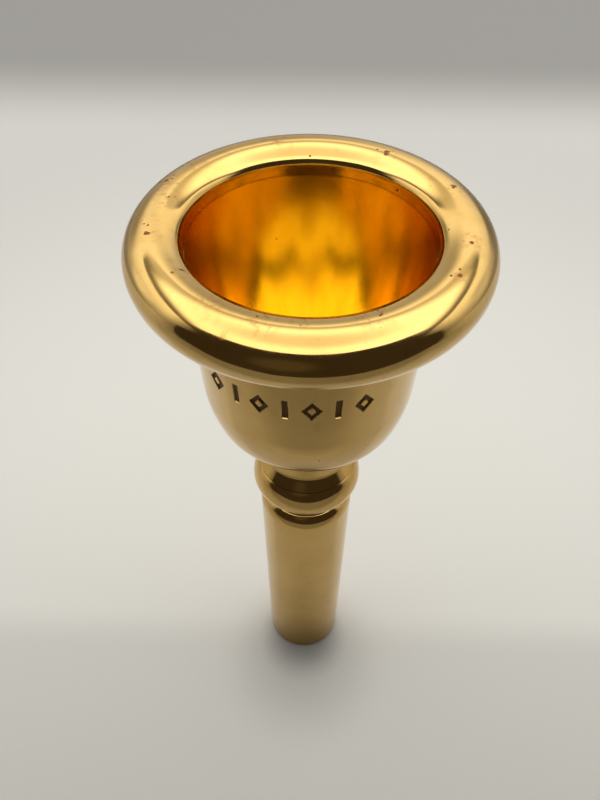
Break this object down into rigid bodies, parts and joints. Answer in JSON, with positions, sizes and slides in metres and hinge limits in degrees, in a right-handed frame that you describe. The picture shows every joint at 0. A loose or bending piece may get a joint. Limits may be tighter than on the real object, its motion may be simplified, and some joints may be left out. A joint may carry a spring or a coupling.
{
  "type": "brass instrument mouthpiece",
  "caption": "Gold-plated brass mouthpiece of tuba size, with a rounded rim, bell-shaped cup, beaded collar and tapered shank; rim and cup unscrew.",
  "frame": {"origin": "centre of the shank's end face, which the part stands on", "axes": "+Z along the bore from the shank to the rim; -Y is the front, where the middle of the engraved band is nearest"},
  "size_m": [0.048, 0.048, 0.0973],
  "materials": {
    "gold_plate": "polished gold plating on brass",
    "seal_rubber": "smooth nitrile rubber"
  },
  "bodies": {
    "shank": {"shank": "gold_plate"},
    "shank_seal": {"shank_o_ring": "seal_rubber"},
    "cup": {"cup": "gold_plate"},
    "rim_seal": {"rim_o_ring": "seal_rubber"},
    "rim": {"rim": "gold_plate"}
  },
  "joints": [
    {"name": "cup_turn", "type": "hinge", "parent": "shank", "child": "shank_seal", "pos_m": [0, 0, 0.0514], "axis": [0, 0, 1], "range_deg": [0, 2070.1]},
    {"name": "cup_lift", "type": "slide", "parent": "shank_seal", "child": "cup", "axis": [0, 0, 1], "range_m": [0, 0.0046]},
    {"name": "rim_turn", "type": "hinge", "parent": "cup", "child": "rim_seal", "pos_m": [0, 0, 0.089], "axis": [0, 0, 1], "range_deg": [0, 1080.1]},
    {"name": "rim_lift", "type": "slide", "parent": "rim_seal", "child": "rim", "axis": [0, 0, 1], "range_m": [0, 0.003]}
  ],
  "couplings": [
    {"joint": "cup_turn", "follows": "cup_lift", "rad_per_m": 7854},
    {"joint": "rim_turn", "follows": "rim_lift", "rad_per_m": 6283.2}
  ]
}
